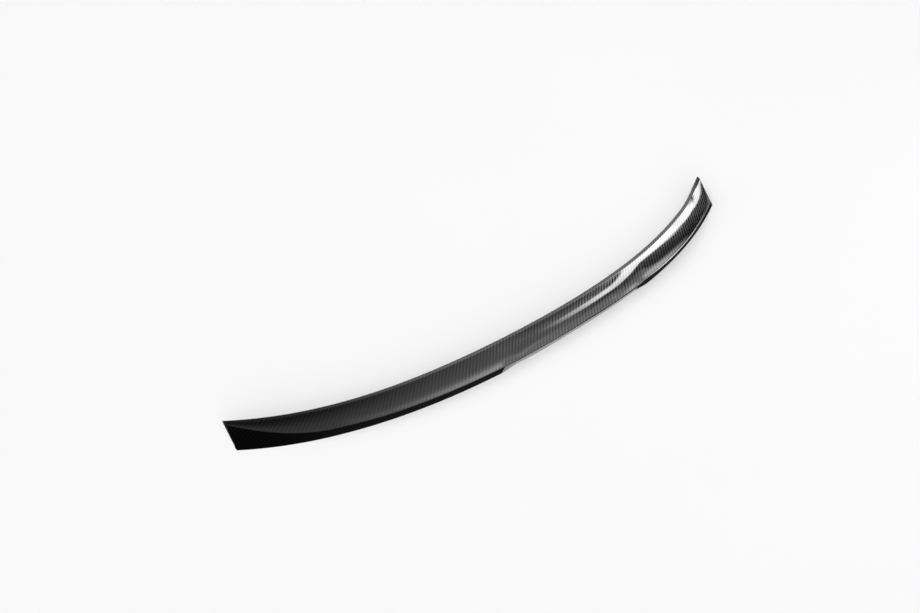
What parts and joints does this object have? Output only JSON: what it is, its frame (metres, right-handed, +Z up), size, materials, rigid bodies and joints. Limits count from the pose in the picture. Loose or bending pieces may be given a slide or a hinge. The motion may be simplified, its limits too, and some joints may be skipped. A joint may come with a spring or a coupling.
{
  "type": "car rear spoiler",
  "caption": "Bowed lip spoiler for a boot lid: a gloss carbon-fibre shell with a creased lip, a lower middle panel, a level front rim and a turned-in foot.",
  "frame": {"origin": "middle of the bounding box in plan, in the plane of the lower rear edge", "axes": "+X across the car to its right, +Y to the front of the car, +Z up"},
  "size_m": [1.12, 0.1858, 0.04],
  "materials": {
    "carbon_gloss": "clear-coated 2x2 twill carbon fibre"
  },
  "bodies": {
    "root": {"spoiler_shell": "carbon_gloss"}
  },
  "joints": []
}
